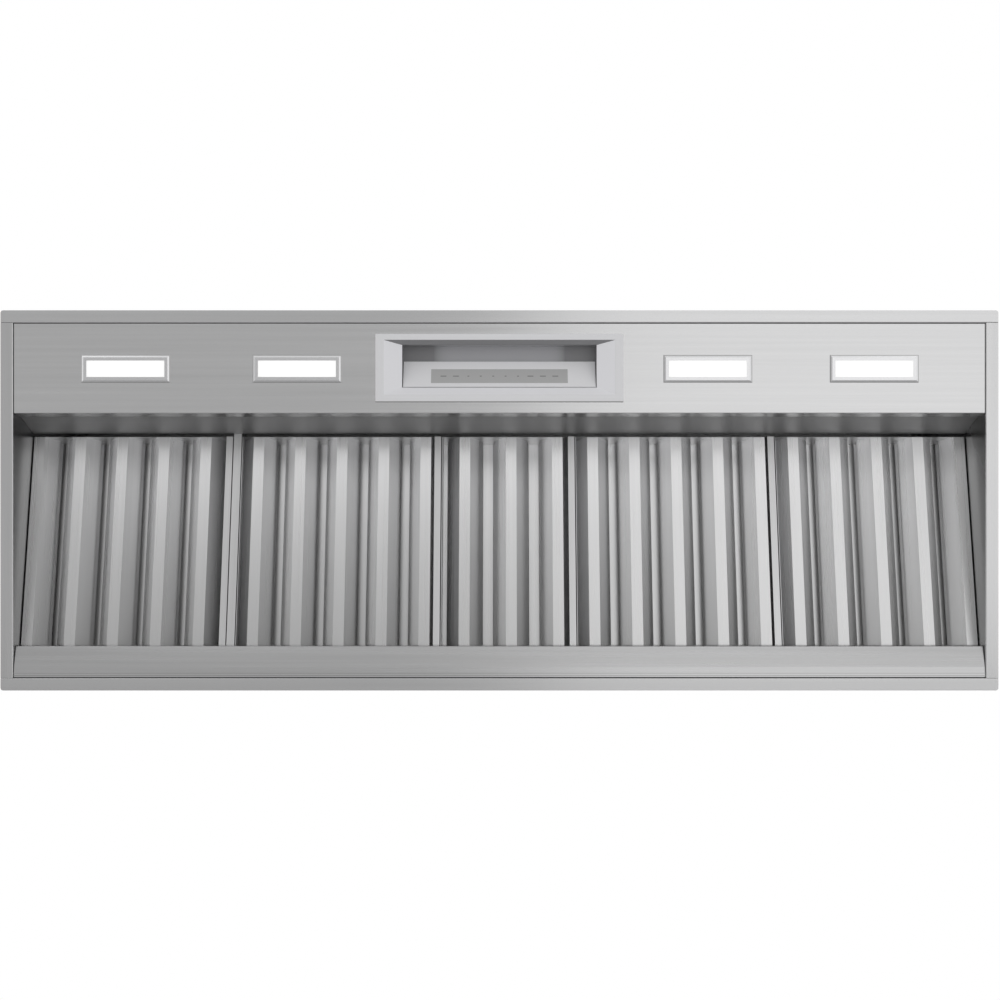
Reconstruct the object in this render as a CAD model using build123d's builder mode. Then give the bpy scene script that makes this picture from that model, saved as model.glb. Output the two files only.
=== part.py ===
from build123d import *
from math import acos, atan2, copysign, cos, degrees, hypot, pi, sin, sqrt
import os

# A built-in range hood insert, seen from below when it hangs in its cabinet.
# Millimetres, +Z up. The origin is the centre of the trim flange's underside, -Y is the
# front with the lamps and controls, and +Y is the wall side.

# ---------------------------------------------------------------- driving dimensions
# Casing
overall_w = 1483.0          # outside of the trim flange, left to right
overall_d = 565.0           # outside of the trim flange, front to rear
flange_w = 18.5             # visible width of the trim flange
housing_h = 343.0           # flange underside to the top edge of the walls
sheet_t = 1.2               # stainless sheet
bend_r = 1.6                # bend radius on the drawn side of a fold
corner_r = 4.0              # outer corners of the flange
return_w = 20.0             # lips that the top panel sits on
side_gap = 0.3              # inner panels to the side walls
hanging_hole_r = 2.5        # screw holes to the cabinet, four in each side wall
hanging_pitch_y = 360.0
hanging_pitch_z = 100.0
hanging_drop = 103.0        # middle of the hanging holes below the top edge

# Fascia and the folded front of the recess
fascia_z = 2.0              # set back from the flange, so that the bezels stay behind it
fascia_tab = 18.0           # fold against the front wall
fascia_depth = 134.5        # front wall to the fold that starts the recess
return_lean = 3.5           # how far that fold leans to the rear
return_h = 32.0
header_run = 23.0           # the slanted front wall, front to rear
header_rise = 70.0
header_tab = 20.0

# Rear sill and the ledge under the filters
sill_z = 1.0                # sill at the flange
sill_crease = 16.0          # crease to the rear wall
sill_crease_z = 2.2
sill_depth = 46.6           # ledge to the rear wall
sill_front_z = 11.0
sill_tab = 24.0
ledge_z = 34.0              # edge that the filters rest on
ledge_depth = 15.0          # how far a filter reaches over the ledge
ledge_lip = 5.0
ledge_clear = 0.3           # filter to the bend of the lip behind it
drain_slot_w = 12.0
drain_slot_d = 5.0
drain_pitch = 103.0
trough_gap = 0.3            # trough to the sill that it lies in
trough_h = 14.0
trough_inset = 3.0

# Baffle filters, left to right; the narrow one stands behind the controls.
filter_t = 48.0             # frame height
filter_sheet = 0.8
filter_end_gap = 4.0        # front end to the slanted wall
filter_lip = 9.0            # lips over the rear baffles
rail_lip = 10.0             # visible lip along a filter's right rail
baffle_flat = 16.5
baffle_run = 17.6           # width of one slanted side
baffle_rise = 25.0          # height of one slanted side
filter_gap = 1.6
wide_filter_w = 308.0       # first, second and fourth
end_filter_w = 294.0        # fifth
wide_pitch = 64.7           # between a filter's baffles
narrow_pitch = 71.5
end_pitch = 64.6
first_baffles = (7.9, 25.6, 35.4, 26.6, 27.7)    # first front baffle from the left edge
rail_lip_on = (True, True, True, True, False)
spacer_w = 12.0             # fixed strip between the first and second filters
spacer_h = 30.0
spacer_gap = 1.5
spacer_lap = 12.0           # how far the strip runs over the front shelf

# Lamps, their middles set from the side walls, the pocket and the front wall
lamp_wall_left = 167.0
lamp_wall_right = 165.5
lamp_pocket_left = 116.7
lamp_pocket_right = 125.7
lamp_from_front = 68.3
bezel_w = 132.0
bezel_d = 41.0
bezel_z = 0.4               # lowest face of the bezels
bezel_edge = 7.0            # width of the bevelled rim
lens_w = 116.0
lens_d = 24.5
lens_lap = 1.5              # lens over the bezel's inner lip
lens_t = 2.2
skirt_t = 1.4
skirt_h = 12.0
lamp_clear = 0.3
heat_sink_lap = 3.5
heat_sink_t = 2.5
heat_sink_fins = 5
fin_h = 9.0
fin_t = 1.6

# Control pocket
pocket_from_front = 16.4    # front wall to the edge of the rim
pocket_w = 368.6
pocket_d = 101.7
pocket_z = 0.6
pocket_rim_t = 1.4
pocket_wall = 2.4
rim_side = 11.6             # visible rim round the mouth
rim_front = 8.5
rim_rear = 11.0
cheek_z = 7.0               # where the shallow cheeks turn into upright walls
cheek_side = 27.7           # width of the cheeks at the ends and at the front
cheek_front = 7.1
face_run = 52.1             # the sloped control face, rear to front
face_top_z = 30.0
pocket_roof_z = 34.0
panel_t = 3.0
panel_gap = 1.2             # control face to the pocket's side walls
strip_w = 204.5
strip_from = 8.0            # lower edge of the touch strip, along the slope
strip_to = 33.0
strip_t = 0.3
boss_w = 7.0
boss_h = 3.0
board_w = 200.0
board_t = 1.6
chip_w = 14.0
chip_x = -60.0
driver_chip_x = -10.0
socket_w = 30.0
socket_d = 10.0
socket_x = 60.0
part_h = 4.0                # height of the parts on the board

# Blower: the scroll is as large as the room over the filters allows.
blower_clear = 8.8          # scroll to the filters
outlet_neck = 25.5          # straight outlet above the cut-off
shaft_r = 4.0
shaft_fit = 0.05            # radial running clearance
wheel_clear = 11.0          # wheel to the narrowest part of the scroll
wheel_end_gap = 11.0        # wheel to the scroll's sides
blade_depth = 12.0
blade_t = 0.8
blade_count = 20
blade_lean = 9.0            # degrees that a blade tip leans into the turn
blade_camber = 3.0          # how far a blade's crease stands off its chord
wheel_from = 50.0           # back plate to the middle of the blower
wheel_plate_t = 1.5
hub_r = 11.0
hub_len = 24.0
scroll_step = 13.0          # growth from each quarter to the next
scroll_half = 161.0
scroll_t = 1.0
inlet_inset = 3.0           # inlet to the inner edge of the blades
inlet_collar = 6.0
motor_r = 48.0
motor_body_half = 34.0
motor_boss_r = 17.0
motor_boss_half = 46.0
cradle_gap = 0.1
cradle_t = 3.0
cradle_w = 26.0
cradle_leg = 34.0
outlet_flange = 12.0

# Duct adapter and damper
adapter_h = 60.0
collar_r = 127.0
collar_h = 45.0
collar_t = 1.0
adapter_flange = 18.0
seam_spread = 1.8           # how much thicker the flats' upper edge is than the collar
rod_r = 3.0
rod_fit = 0.06
knuckle_t = 1.6
knuckle_len = 46.0
knuckle_pitch = 70.0
flap_r = 122.5
flap_t = 0.8
flap_start = 5.5

# Electrics and fasteners
box_from_wall = 243.0       # middle of the box to the left wall
box_w = 120.0
box_d = 90.0
box_h = 50.0
cover_h = 12.0
cover_gap = 0.3
knockout_r = 11.0
terminal_w = 70.0
terminal_d = 22.0
terminal_h = 20.0
terminal_ways = 5
driver_w = 160.0
driver_d = 42.0
driver_h = 26.0
driver_from_wall = 293.0    # middle of the driver to the left wall
driver_from_front = 64.0
capacitor_w = 50.0
capacitor_d = 26.0
capacitor_h = 36.0
capacitor_ear = 10.0
capacitor_from_scroll = 54.0
capacitor_y = 120.0
screw_r = 2.0
screw_hole_r = 2.2
screw_head_r = 4.2
screw_head_h = 2.4
screw_len = 9.0
screw_facet_count = 6       # screw shanks and their holes are drawn with flats,
sheet_facet_count = 24      # and so are the adapter, the flaps, the motor and the inlets
hinge_facet_count = 8       # and the outsides of the flaps' knuckles

# ---------------------------------------------------------------- worked-out sizes
inner_half_w = overall_w / 2 - flange_w
inner_half_d = overall_d / 2 - flange_w
panel_span = 2 * (inner_half_w - side_gap)
hanging_z = housing_h - hanging_drop
fascia_rear_y = -inner_half_d + fascia_depth
fascia_return_y = fascia_rear_y + return_lean
fascia_return_z = fascia_z + return_h
header_y = fascia_return_y + header_run
header_z = fascia_return_z + header_rise
ledge_y = inner_half_d - sill_depth
sill_crease_y = inner_half_d - sill_crease
slope_run = ledge_y - header_y
slope_rise = header_z - ledge_z
slope = atan2(slope_rise, slope_run)
filter_len = hypot(slope_run, slope_rise) - filter_end_gap
top_z = housing_h + sheet_t
lamp_xs = (-inner_half_w + lamp_wall_left, -pocket_w / 2 - lamp_pocket_left,
           pocket_w / 2 + lamp_pocket_right, inner_half_w - lamp_wall_right)
lamp_y = -inner_half_d + lamp_from_front
adapter_z = top_z + sheet_t
rod_z = adapter_z + adapter_h + collar_h / 2

# The scroll stays clear of the filters and leaves its outlet a straight neck. Both
# conditions together, without the shaft's height, give the radius of its first quarter.
room = ((housing_h + scroll_step - outlet_neck - ledge_z) * cos(slope)
        - (ledge_y - scroll_step / 2) * sin(slope)
        - filter_t - blower_clear - 2 * scroll_step - scroll_t)
scroll_r = room / (1 + cos(slope) - sin(slope) / 2)
shaft_y = scroll_r / 2 + scroll_step
shaft_z = housing_h - scroll_r + scroll_step / 2 - outlet_neck
outlet_d = 2 * shaft_y + scroll_step
wheel_r = scroll_r - wheel_clear
wheel_len = scroll_half - wheel_end_gap - wheel_from
inlet_r = wheel_r - blade_depth - inlet_inset


def save(piece, label):
    """Names the finished piece and writes it out."""
    piece.part.label = label
    export_step(piece.part, f"parts/{label}.step")


def bent_strip(points, side, thickness=sheet_t):
    """The section of a sheet folded along the points, with rounded bends."""
    with BuildSketch() as section:
        with BuildLine():
            FilletPolyline(*points, radius=bend_r)
            offset(amount=thickness, side=side)
        make_face()
    return section.sketch


def on_slope(x, along=0.0, above=0.0):
    """A plane on the filters' underside: local y runs down the slope to the rear."""
    y = ledge_y + along * cos(slope) + above * sin(slope)
    z = ledge_z - along * sin(slope) + above * cos(slope)
    return Plane(origin=(x, y, z), x_dir=(1, 0, 0), z_dir=(0, sin(slope), cos(slope)))


def on_shaft(x):
    """A plane across the blower shaft: local x is +Y, local y is +Z."""
    return Plane(origin=(x, shaft_y, shaft_z), x_dir=(0, 1, 0), z_dir=(1, 0, 0))


os.makedirs("parts", exist_ok=True)

# ---------------------------------------------------------------- casing
# Each wall is one folded sheet: flange outwards, wall, and a lip under the top panel.
with BuildPart() as casing_front:
    with BuildSketch(Plane.YZ.offset(-overall_w / 2)):
        add(bent_strip(
            [(-overall_d / 2, 0), (-inner_half_d, 0), (-inner_half_d, housing_h - sheet_t),
             (-inner_half_d + return_w, housing_h - sheet_t)], Side.LEFT))
    extrude(amount=overall_w)
    # The wall ends at the side walls, the flange runs on.
    with BuildSketch(Plane.XY.offset(sheet_t)):
        with Locations((-overall_w / 2, -inner_half_d), (overall_w / 2, -inner_half_d)):
            Rectangle(2 * (flange_w - sheet_t), 2 * (flange_w + return_w))
    extrude(amount=housing_h, mode=Mode.SUBTRACT)
    # The lip fits between the side walls.
    with BuildSketch(Plane.XY.offset(housing_h / 2)):
        with Locations((-inner_half_w - sheet_t / 2, 0), (inner_half_w + sheet_t / 2, 0)):
            Rectangle(sheet_t, 2 * inner_half_d)
    extrude(amount=housing_h, mode=Mode.SUBTRACT)
    fillet(casing_front.edges().filter_by(Axis.Z).group_by(Axis.Y)[0], radius=corner_r)

with BuildPart() as casing_rear:
    mirror(casing_front.part, about=Plane.XZ)

with BuildPart() as casing_left:
    with BuildSketch(Plane.XZ.offset(-inner_half_d)):
        add(bent_strip(
            [(-overall_w / 2, 0), (-inner_half_w, 0), (-inner_half_w, housing_h - sheet_t),
             (-inner_half_w + return_w, housing_h - sheet_t)], Side.LEFT))
    extrude(amount=2 * inner_half_d)
    with BuildSketch(Plane.XY.offset(housing_h / 2)):
        with Locations((-inner_half_w + return_w, -inner_half_d),
                       (-inner_half_w + return_w, inner_half_d)):
            Rectangle(2 * return_w, 2 * return_w)
    extrude(amount=housing_h, mode=Mode.SUBTRACT)
    with BuildSketch(Plane.YZ.offset(-overall_w / 2)):
        with Locations((0, hanging_z)):
            with GridLocations(hanging_pitch_y, hanging_pitch_z, 2, 2):
                Circle(hanging_hole_r)
    extrude(amount=2 * flange_w, mode=Mode.SUBTRACT)

with BuildPart() as casing_right:
    mirror(casing_left.part, about=Plane.YZ)

# Top panel, screwed down on the lips, with the blower's outlet cut out.
screw_row = inner_half_d - return_w / 2
screw_column = inner_half_w - return_w / 2
screw_points = [(x, y) for y in (-screw_row, screw_row)
                for x in (-0.75 * inner_half_w, 0, 0.75 * inner_half_w)]
screw_points += [(-screw_column, 0), (screw_column, 0)]
with BuildPart() as top_panel:
    with BuildSketch(Plane.XY.offset(housing_h)):
        Rectangle(2 * inner_half_w, 2 * inner_half_d)
        Rectangle(2 * scroll_half, outlet_d, mode=Mode.SUBTRACT)
        with Locations(*screw_points):
            RegularPolygon(screw_hole_r, screw_facet_count, mode=Mode.SUBTRACT)
    extrude(amount=sheet_t)
save(top_panel, "top_panel")

for wall, label in ((casing_front, "casing_front"), (casing_rear, "casing_rear"),
                    (casing_left, "casing_left"), (casing_right, "casing_right")):
    with wall:
        with BuildSketch(Plane.XY.offset(housing_h - return_w)):
            with Locations(*screw_points):
                RegularPolygon(screw_hole_r, screw_facet_count)
        extrude(amount=return_w, mode=Mode.SUBTRACT)
    save(wall, label)

with BuildPart() as top_screws:
    with BuildSketch(Plane.XY.offset(top_z)):
        with Locations(*screw_points):
            RegularPolygon(screw_head_r, 6)
    extrude(amount=screw_head_h)
    with BuildSketch(Plane.XY.offset(top_z)):
        with Locations(*screw_points):
            RegularPolygon(screw_r, screw_facet_count)
    extrude(amount=-screw_len)
save(top_screws, "top_screws")

# ---------------------------------------------------------------- fascia and header
# The pocket moulding and the lamp skirts pass through the fascia.
skirt_w = lens_w + 2 * (lens_lap + lamp_clear + skirt_t)
skirt_d = lens_d + 2 * (lens_lap + lamp_clear + skirt_t)
pocket_y = -inner_half_d + pocket_from_front + pocket_d / 2
mouth_half = pocket_w / 2 - rim_side
mouth_front_y = pocket_y - pocket_d / 2 + rim_front
mouth_rear_y = pocket_y + pocket_d / 2 - rim_rear
pocket_front_y = mouth_front_y - pocket_wall
pocket_back_y = mouth_rear_y + pocket_wall
pocket_half = mouth_half + pocket_wall

with BuildPart() as fascia_panel:
    with BuildSketch(Plane.YZ.offset(-panel_span / 2)):
        add(bent_strip(
            [(-inner_half_d, fascia_z + fascia_tab), (-inner_half_d, fascia_z),
             (fascia_rear_y, fascia_z), (fascia_return_y, fascia_return_z)], Side.LEFT))
    extrude(amount=panel_span)
    with BuildSketch(Plane.XY):
        with Locations(*[(x, lamp_y) for x in lamp_xs]):
            Rectangle(skirt_w + 2 * lamp_clear, skirt_d + 2 * lamp_clear)
        with Locations((0, (pocket_front_y + pocket_back_y) / 2)):
            Rectangle(2 * (pocket_half + lamp_clear),
                      pocket_back_y - pocket_front_y + 2 * lamp_clear)
    extrude(amount=fascia_z + 2 * sheet_t, mode=Mode.SUBTRACT)
save(fascia_panel, "fascia_panel")

# The header laps behind the fascia's fold, slants up to the filters and runs on forward
# as the shelf over the lamp compartment.
return_len = hypot(fascia_return_y - fascia_rear_y, fascia_return_z - fascia_z)
return_dir = ((fascia_return_y - fascia_rear_y) / return_len,
              (fascia_return_z - fascia_z) / return_len)


def behind_return(along):
    """A point on the hidden face of the fascia's rear fold."""
    return (fascia_rear_y + return_dir[0] * along - return_dir[1] * sheet_t,
            fascia_z + return_dir[1] * along + return_dir[0] * sheet_t)


with BuildPart() as filter_header:
    with BuildSketch(Plane.YZ.offset(-panel_span / 2)):
        add(bent_strip(
            [behind_return(return_len - header_tab), behind_return(return_len + bend_r / 2),
             (header_y, header_z), (-inner_half_d, header_z),
             (-inner_half_d, header_z - header_tab)], Side.LEFT))
    extrude(amount=panel_span)
save(filter_header, "filter_header")

# ---------------------------------------------------------------- sill and trough
drain_count = int(panel_span / drain_pitch) - 1
ledge_end = ledge_depth + bend_r + ledge_clear
ledge_end_y = ledge_y + ledge_end * cos(slope)
ledge_end_z = ledge_z - ledge_end * sin(slope)
with BuildPart() as rear_sill:
    with BuildSketch(Plane.YZ.offset(-panel_span / 2)):
        add(bent_strip(
            [(inner_half_d, sill_z + sill_tab), (inner_half_d, sill_z),
             (sill_crease_y, sill_crease_z), (ledge_y, sill_front_z), (ledge_y, ledge_z),
             (ledge_end_y, ledge_end_z),
             (ledge_end_y + ledge_lip * sin(slope), ledge_end_z + ledge_lip * cos(slope))],
            Side.RIGHT))
    extrude(amount=panel_span)
    # Grease runs through slots in the ledge into the trough below.
    with BuildSketch(on_slope(0, along=ledge_depth - drain_slot_d)):
        with GridLocations(drain_pitch, 0, drain_count, 1):
            Rectangle(drain_slot_w, drain_slot_d)
    extrude(amount=-2 * sheet_t, mode=Mode.SUBTRACT)
save(rear_sill, "rear_sill")

trough_front_y = ledge_y + sheet_t + trough_gap
trough_rear_y = inner_half_d - sheet_t - trough_gap
trough_lift = sheet_t + 2 * trough_gap
with BuildPart() as grease_trough:
    with BuildSketch(Plane.YZ.offset(-panel_span / 2 + trough_inset)):
        add(bent_strip(
            [(trough_rear_y, sill_crease_z + trough_lift + trough_h),
             (trough_rear_y, sill_crease_z + trough_lift),
             (sill_crease_y, sill_crease_z + trough_lift),
             (trough_front_y, sill_front_z + trough_lift),
             (trough_front_y, sill_front_z + trough_lift + trough_h / 2)], Side.RIGHT))
    extrude(amount=panel_span - 2 * trough_inset)
    # End plates.
    with BuildSketch(Plane.YZ.offset(-panel_span / 2 + trough_inset)):
        with BuildLine():
            Polyline((trough_rear_y - sheet_t, sill_crease_z + trough_lift + trough_h),
                     (trough_rear_y - sheet_t, sill_crease_z + trough_lift + sheet_t),
                     (sill_crease_y, sill_crease_z + trough_lift + sheet_t / 2),
                     (trough_front_y + sheet_t / 2, sill_front_z + trough_lift + sheet_t),
                     (trough_front_y + sheet_t / 2, sill_front_z + trough_lift + trough_h / 2),
                     close=True)
        make_face()
    extrude(amount=sheet_t)
    mirror(about=Plane.YZ)
save(grease_trough, "grease_trough")

# ---------------------------------------------------------------- baffle filters
def baffle_section(centre, lift, upright):
    """One baffle channel across the filter: a flat with two slanted sides."""
    rise = baffle_rise if upright else -baffle_rise
    with BuildSketch() as section:
        with BuildLine():
            Polyline((centre - baffle_flat / 2 - baffle_run, lift + rise),
                     (centre - baffle_flat / 2, lift),
                     (centre + baffle_flat / 2, lift),
                     (centre + baffle_flat / 2 + baffle_run, lift + rise))
            offset(amount=filter_sheet, side=Side.LEFT if upright else Side.RIGHT,
                   kind=Kind.INTERSECTION)
        make_face()
    return section.sketch


def baffle_row(left, width, centres, lift, upright):
    """A row of baffle channels, cut off at the inner faces of the filter's frame."""
    inside_l = filter_len + ledge_depth - 2 * filter_sheet
    across = on_slope(left, along=ledge_depth - filter_sheet)
    cross_plane = Plane(origin=across.origin, x_dir=(1, 0, 0), z_dir=-across.y_dir)
    with BuildPart() as row:
        with BuildSketch(cross_plane):
            for centre in centres:
                add(baffle_section(centre, lift, upright))
            with Locations((width / 2, filter_t / 2)):
                Rectangle(width - 2 * filter_sheet, filter_t - 2 * filter_sheet
                          if not upright else filter_t, mode=Mode.INTERSECT)
        extrude(amount=inside_l)
    return row


def filter_frame(left, width, centres, lipped):
    """The frame: two rails and two end plates, lips on top, drain slots at the rear."""
    length = filter_len + ledge_depth
    middle = on_slope(left + width / 2, along=ledge_depth - length / 2)
    with BuildPart() as frame:
        with BuildSketch(middle):
            Rectangle(width, length)
        extrude(amount=filter_t)
        # Break the upper front edge, which swings past the slanted wall.
        front_edges = frame.edges().filter_by(Axis.X).group_by(Axis.Y)[0]
        chamfer(front_edges.sort_by(Axis.Z)[-1], length=filter_sheet)
        with BuildSketch(middle):
            Rectangle(width - 2 * filter_sheet, length - 2 * filter_sheet)
        extrude(amount=filter_t - filter_sheet, mode=Mode.SUBTRACT)
        with BuildSketch(middle):
            Rectangle(width - 2 * filter_lip, length - 2 * filter_lip)
        extrude(amount=filter_t, mode=Mode.SUBTRACT)
        if lipped:
            with BuildSketch(middle):
                with Locations((width / 2 - rail_lip / 2, 0)):
                    Rectangle(rail_lip, length)
            extrude(amount=filter_sheet)
        # Drain slots through the rear end plate, one in each front channel.
        with BuildSketch(on_slope(left, along=ledge_depth - filter_sheet / 2,
                                  above=3 * filter_sheet)):
            for centre in centres:
                with Locations((max(centre, baffle_flat), 0)):
                    Rectangle(baffle_flat / 2, 2 * filter_sheet)
        extrude(amount=2 * filter_sheet, mode=Mode.SUBTRACT)
    return frame


# The narrow filter behind the controls takes the width that the others leave.
gaps_w = 2 * spacer_gap + spacer_w + 5 * filter_gap
narrow_filter_w = 2 * inner_half_w - gaps_w - 3 * wide_filter_w - end_filter_w
filter_widths = (wide_filter_w, wide_filter_w, narrow_filter_w, wide_filter_w, end_filter_w)
filter_pitches = (wide_pitch, wide_pitch, narrow_pitch, wide_pitch, end_pitch)
filter_x = -inner_half_w + filter_gap
filter_lefts = []
for number, width in enumerate(filter_widths):
    filter_lefts.append(filter_x)
    filter_x += width + (2 * spacer_gap + spacer_w if number == 0 else filter_gap)

for number, left in enumerate(filter_lefts):
    width = filter_widths[number]
    pitch = filter_pitches[number]
    first = first_baffles[number]
    count = int((width - first) / pitch) + 1
    front_centres = [first + pitch * i for i in range(count)]
    rear_centres = [first + pitch * (i - 0.5) for i in range(count + 1)]
    name = f"filter_{number + 1}"
    frame = filter_frame(left, width, front_centres, rail_lip_on[number])
    save(frame, f"{name}_frame")
    front_row = baffle_row(left, width, front_centres, 0, True)
    save(front_row, f"{name}_front_baffles")
    rear_row = baffle_row(left, width, rear_centres, filter_t - filter_sheet, False)
    save(rear_row, f"{name}_rear_baffles")

# The fixed strip between the first two filters, an upturned channel.
spacer_x = filter_lefts[0] + filter_widths[0] + spacer_gap + spacer_w / 2
spacer_len = hypot(slope_run, slope_rise) + spacer_lap + ledge_depth
with BuildPart() as filter_spacer:
    with BuildSketch(on_slope(spacer_x, along=ledge_depth - spacer_len / 2)):
        Rectangle(spacer_w, spacer_len)
    extrude(amount=spacer_h)
    with BuildSketch(on_slope(spacer_x, along=ledge_depth - spacer_len / 2, above=sheet_t)):
        Rectangle(spacer_w - 2 * sheet_t, spacer_len)
    extrude(amount=spacer_h, mode=Mode.SUBTRACT)
save(filter_spacer, "filter_spacer")

# ---------------------------------------------------------------- lamps
lens_z = bezel_z + (fascia_z - bezel_z) / 2
for number, x in enumerate(lamp_xs):
    with BuildPart() as bezel:
        with BuildSketch(Plane.XY.offset(bezel_z)):
            with Locations((x, lamp_y)):
                Rectangle(bezel_w, bezel_d)
        extrude(amount=fascia_z - bezel_z)
        chamfer(bezel.faces().sort_by(Axis.Z)[0].edges(), length=0.8 * (fascia_z - bezel_z),
                length2=bezel_edge / 2)
        with BuildSketch(Plane.XY.offset(fascia_z)):
            with Locations((x, lamp_y)):
                Rectangle(skirt_w, skirt_d)
        extrude(amount=skirt_h)
        with BuildSketch(Plane.XY.offset(bezel_z)):
            with Locations((x, lamp_y)):
                Rectangle(lens_w, lens_d)
        extrude(amount=skirt_h, mode=Mode.SUBTRACT)
        with BuildSketch(Plane.XY.offset(lens_z)):
            with Locations((x, lamp_y)):
                Rectangle(skirt_w - 2 * skirt_t, skirt_d - 2 * skirt_t)
        extrude(amount=2 * skirt_h, mode=Mode.SUBTRACT)
    save(bezel, f"lamp_{number + 1}_bezel")

    with BuildPart() as lens:
        with BuildSketch(Plane.XY.offset(lens_z)):
            with Locations((x, lamp_y)):
                Rectangle(lens_w + 2 * lens_lap, lens_d + 2 * lens_lap)
        extrude(amount=lens_t)
    save(lens, f"lamp_{number + 1}_lens")

    sink_z = fascia_z + skirt_h
    with BuildPart() as lamp_module:
        with BuildSketch(Plane.XY.offset(lens_z + lens_t)):
            with Locations((x, lamp_y)):
                Rectangle(lens_w + 2 * lens_lap, lens_d + 2 * lens_lap)
        extrude(amount=sink_z - lens_z - lens_t)
        with BuildSketch(Plane.XY.offset(sink_z)):
            with Locations((x, lamp_y)):
                Rectangle(skirt_w + 2 * heat_sink_lap, skirt_d + 2 * heat_sink_lap)
        extrude(amount=heat_sink_t)
        with BuildSketch(Plane.XY.offset(sink_z + heat_sink_t)):
            with Locations((x, lamp_y)):
                with GridLocations(0, (skirt_d - fin_t) / (heat_sink_fins - 1), 1,
                                   heat_sink_fins):
                    Rectangle(skirt_w, fin_t)
        extrude(amount=fin_h)
    save(lamp_module, f"lamp_{number + 1}_module")

# ---------------------------------------------------------------- control pocket
# The control face slopes from the mouth's rear edge up into the pocket.
face_rise = face_top_z - pocket_z
face_len = hypot(face_run, face_rise)
face_dir = (-face_run / face_len, face_rise / face_len)
face_back = (face_dir[1], -face_dir[0])
face_start = (cheek_z - pocket_z) / face_dir[1]


def on_face(along, depth=0.0):
    """A YZ point on the control face, `along` its slope and `depth` behind it."""
    return (mouth_rear_y + face_dir[0] * along + face_back[0] * depth,
            pocket_z + face_dir[1] * along + face_back[1] * depth)


def face_plane(along, depth=0.0):
    """A plane on the control face: local x is +X, its normal points into the hood."""
    y, z = on_face(along, depth)
    return Plane(origin=(0, y, z), x_dir=(1, 0, 0), z_dir=(0, face_back[0], face_back[1]))


cheek_half = mouth_half - cheek_side
cheek_front_y = mouth_front_y + cheek_front
wall_outer_y = cheek_front_y - pocket_wall
roof_outer_z = pocket_roof_z + pocket_wall
back_depth = panel_t + pocket_wall
rim_top = pocket_z + pocket_rim_t
with BuildPart() as control_pocket:
    with BuildSketch(Plane.XY.offset(pocket_z)):
        with Locations((0, pocket_y)):
            Rectangle(pocket_w, pocket_d)
    extrude(amount=pocket_rim_t)
    with BuildSketch(Plane.XY.offset(rim_top)):
        with Locations((0, (pocket_front_y + pocket_back_y) / 2)):
            Rectangle(2 * pocket_half, pocket_back_y - pocket_front_y)
    extrude(amount=cheek_z + pocket_wall - rim_top)
    with BuildSketch(Plane.YZ.offset(-cheek_half - pocket_wall)):
        with BuildLine():
            Polyline((wall_outer_y, rim_top), (wall_outer_y, roof_outer_z),
                     (on_face(face_len, back_depth)[0], roof_outer_z),
                     on_face(face_len, back_depth), on_face(2 * face_start, back_depth),
                     (pocket_back_y, rim_top), close=True)
        make_face()
    extrude(amount=2 * (cheek_half + pocket_wall))
    # The mouth narrows along shallow cheeks, then the walls stand upright.
    with BuildSketch(Plane.XY.offset(pocket_z)):
        with Locations((0, (mouth_front_y + mouth_rear_y) / 2)):
            Rectangle(2 * mouth_half, mouth_rear_y - mouth_front_y)
    with BuildSketch(Plane.XY.offset(cheek_z)):
        with Locations((0, (cheek_front_y + on_face(face_start)[0]) / 2)):
            Rectangle(2 * cheek_half, on_face(face_start)[0] - cheek_front_y)
    loft(mode=Mode.SUBTRACT)
    with BuildSketch(Plane.YZ.offset(-cheek_half)):
        with BuildLine():
            Polyline((cheek_front_y, cheek_z), (cheek_front_y, pocket_roof_z),
                     (on_face(face_len, panel_t)[0], pocket_roof_z),
                     on_face(face_len, panel_t), on_face(face_start, panel_t),
                     on_face(face_start), close=True)
        make_face()
    extrude(amount=2 * cheek_half, mode=Mode.SUBTRACT)
    # Bosses that carry the control board.
    with BuildSketch(face_plane(face_len / 2 + face_start / 2, back_depth)):
        with GridLocations(0.8 * board_w, 0.4 * face_len, 2, 2):
            Rectangle(boss_w, boss_w)
    extrude(amount=boss_h)
save(control_pocket, "control_pocket")

with BuildPart() as control_face:
    with BuildSketch(Plane.YZ.offset(-cheek_half + panel_gap)):
        with BuildLine():
            Polyline(on_face(face_start + panel_gap), on_face(face_len),
                     on_face(face_len, panel_t), on_face(face_start + panel_gap, panel_t),
                     close=True)
        make_face()
    extrude(amount=2 * (cheek_half - panel_gap))
    # Shallow recess that the touch strip is stuck into.
    with BuildSketch(face_plane((strip_from + strip_to) / 2 + face_start)):
        Rectangle(strip_w, strip_to - strip_from)
    extrude(amount=strip_t, mode=Mode.SUBTRACT)
save(control_face, "control_face")

with BuildPart() as touch_strip:
    with BuildSketch(face_plane((strip_from + strip_to) / 2 + face_start)):
        Rectangle(strip_w, strip_to - strip_from)
    extrude(amount=strip_t)
save(touch_strip, "touch_strip")

with BuildPart() as control_board:
    with BuildSketch(face_plane(face_len / 2 + face_start / 2, back_depth + boss_h)):
        Rectangle(board_w, 0.6 * face_len)
    extrude(amount=board_t)
    # Chips and a connector on the board's back.
    with BuildSketch(face_plane(face_len / 2 + face_start / 2, back_depth + boss_h + board_t)):
        with Locations((chip_x, 0), (driver_chip_x, 0)):
            Rectangle(chip_w, chip_w)
        with Locations((socket_x, 0)):
            Rectangle(socket_w, socket_d)
    extrude(amount=part_h)
save(control_board, "control_board")

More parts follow.
